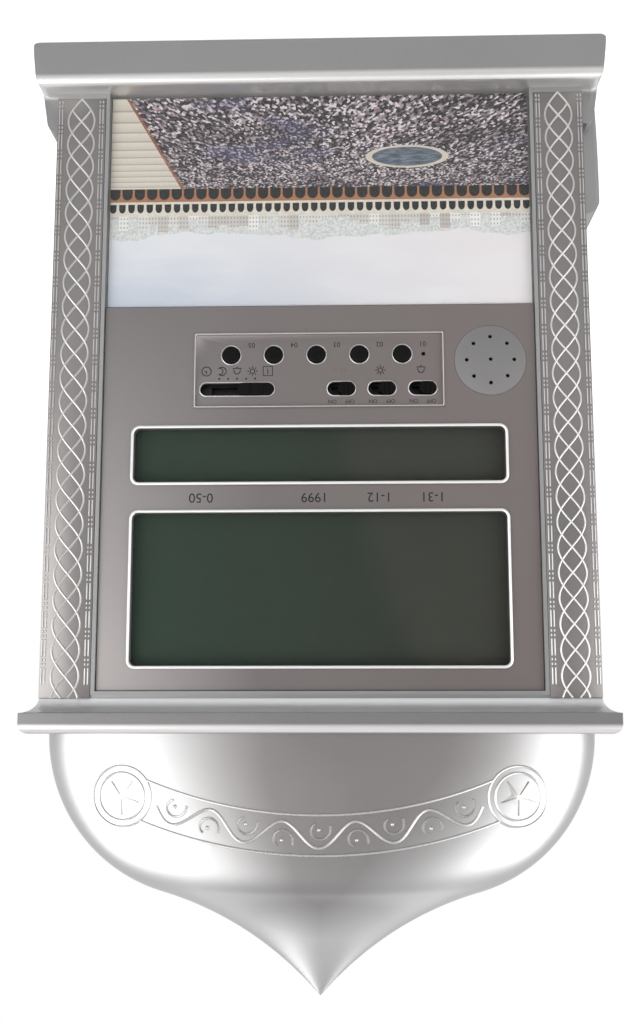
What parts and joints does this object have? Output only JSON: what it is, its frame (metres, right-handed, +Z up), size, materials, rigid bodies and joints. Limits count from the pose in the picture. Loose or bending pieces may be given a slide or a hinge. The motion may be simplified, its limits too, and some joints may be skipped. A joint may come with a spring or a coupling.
{
  "type": "azan clock",
  "caption": "Domed wall and desk clock with two displays, a picture panel, a row of buttons, slide switches, a round speaker grille and a battery housing with a sliding door.",
  "frame": {"origin": "middle of the overall box at the plane of the rubber feet", "axes": "+Z up, the displays face -Y, +X to the right as seen from the front"},
  "size_m": [0.202, 0.055, 0.3266],
  "materials": {
    "black_plastic": "moulded, fine matt",
    "board_part": "epoxy, cans and connectors",
    "button_plastic": "moulded, satin",
    "cell_can": "sleeved cell, plain",
    "circuit_board": "solder resist",
    "clear_sheet": "clear, glossy",
    "contact_metal": "plated strip",
    "display_glass": "dark green, glossy",
    "face_silver": "metallic silver paint with a warm tint, satin",
    "ferrite": "grey magnet",
    "foot_rubber": "matt",
    "grey_board": "plain card",
    "grey_ribbon": "flat cable",
    "grey_rubber": "striped conductive rubber",
    "lead_cover": "insulated wire",
    "printed_card": "printed card under a clear sheet",
    "screw_steel": "zinc plated",
    "silver_case": "metallic silver paint, satin",
    "speaker_paper": "thin pressed cone",
    "speaker_steel": "zinc plated",
    "spring_steel": "plated wire",
    "white_plastic": "moulded, matt"
  },
  "bodies": {
    "clock": {"front_case": "silver_case", "left_column": "silver_case", "right_column": "silver_case", "cornice": "silver_case", "dome_shell": "silver_case", "dome_relief": "silver_case", "face_panel": "face_silver", "picture_sheet": "clear_sheet", "picture_card": "printed_card", "picture_backing": "grey_board", "large_window": "clear_sheet", "small_window": "clear_sheet", "large_display": "display_glass", "small_display": "display_glass", "display_frame": "white_plastic", "contact_strips": "grey_rubber", "main_board": "circuit_board", "board_parts": "board_part", "control_board": "circuit_board", "ribbon_cable": "grey_ribbon", "button_switches": "black_plastic", "slide_switches": "black_plastic", "mode_switch": "black_plastic", "speaker_grille": "silver_case", "speaker_frame": "speaker_steel", "speaker_cone": "speaker_paper", "speaker_magnet": "ferrite", "speaker_leads": "lead_cover", "rear_cover": "silver_case", "battery_housing": "silver_case", "cells_aa": "cell_can", "battery_contacts": "contact_metal", "battery_springs": "spring_steel", "battery_leads": "lead_cover", "base_plinth": "silver_case", "base_plate": "silver_case", "rubber_feet": "foot_rubber", "case_screws": "screw_steel", "board_screws": "screw_steel", "cornice_screws": "screw_steel", "base_screws": "screw_steel", "plate_screws": "screw_steel", "housing_screws": "screw_steel"},
    "up_key": {"up_button": "button_plastic", "up_stem": "black_plastic"},
    "down_key": {"down_button": "button_plastic", "down_stem": "black_plastic"},
    "set_key": {"set_button": "button_plastic", "set_stem": "black_plastic"},
    "city_key": {"city_button": "button_plastic", "city_stem": "black_plastic"},
    "stop_key": {"stop_button": "button_plastic", "stop_stem": "black_plastic"},
    "reset_key": {"reset_stem": "black_plastic"},
    "azan_slider": {"azan_knob": "button_plastic"},
    "alarm_slider": {"alarm_knob": "button_plastic"},
    "summer_slider": {"summer_knob": "button_plastic"},
    "mode_slider": {"mode_knob": "button_plastic"},
    "door": {"battery_door": "silver_case"}
  },
  "joints": [
    {"name": "up_press", "type": "slide", "parent": "clock", "child": "up_key", "axis": [0, 1, 0], "range_m": [0, 0.0005], "stiffness_N_per_m": 1500, "springref_m": -0.0004},
    {"name": "down_press", "type": "slide", "parent": "clock", "child": "down_key", "axis": [0, 1, 0], "range_m": [0, 0.0005], "stiffness_N_per_m": 1500, "springref_m": -0.0004},
    {"name": "set_press", "type": "slide", "parent": "clock", "child": "set_key", "axis": [0, 1, 0], "range_m": [0, 0.0005], "stiffness_N_per_m": 1500, "springref_m": -0.0004},
    {"name": "city_press", "type": "slide", "parent": "clock", "child": "city_key", "axis": [0, 1, 0], "range_m": [0, 0.0005], "stiffness_N_per_m": 1500, "springref_m": -0.0004},
    {"name": "stop_press", "type": "slide", "parent": "clock", "child": "stop_key", "axis": [0, 1, 0], "range_m": [0, 0.0005], "stiffness_N_per_m": 1500, "springref_m": -0.0004},
    {"name": "reset_press", "type": "slide", "parent": "clock", "child": "reset_key", "axis": [0, 1, 0], "range_m": [0, 0.0003], "stiffness_N_per_m": 1500, "springref_m": -0.0004},
    {"name": "azan_switch", "type": "slide", "parent": "clock", "child": "azan_slider", "axis": [1, 0, 0], "range_m": [0, 0.0034]},
    {"name": "alarm_switch", "type": "slide", "parent": "clock", "child": "alarm_slider", "axis": [1, 0, 0], "range_m": [0, 0.0034]},
    {"name": "summer_switch", "type": "slide", "parent": "clock", "child": "summer_slider", "axis": [1, 0, 0], "range_m": [0, 0.0034]},
    {"name": "mode_slide", "type": "slide", "parent": "clock", "child": "mode_slider", "axis": [1, 0, 0], "range_m": [0, 0.0128]},
    {"name": "battery_door_slide", "type": "slide", "parent": "clock", "child": "door", "axis": [0, 0, 1], "range_m": [0, 0.04]}
  ]
}
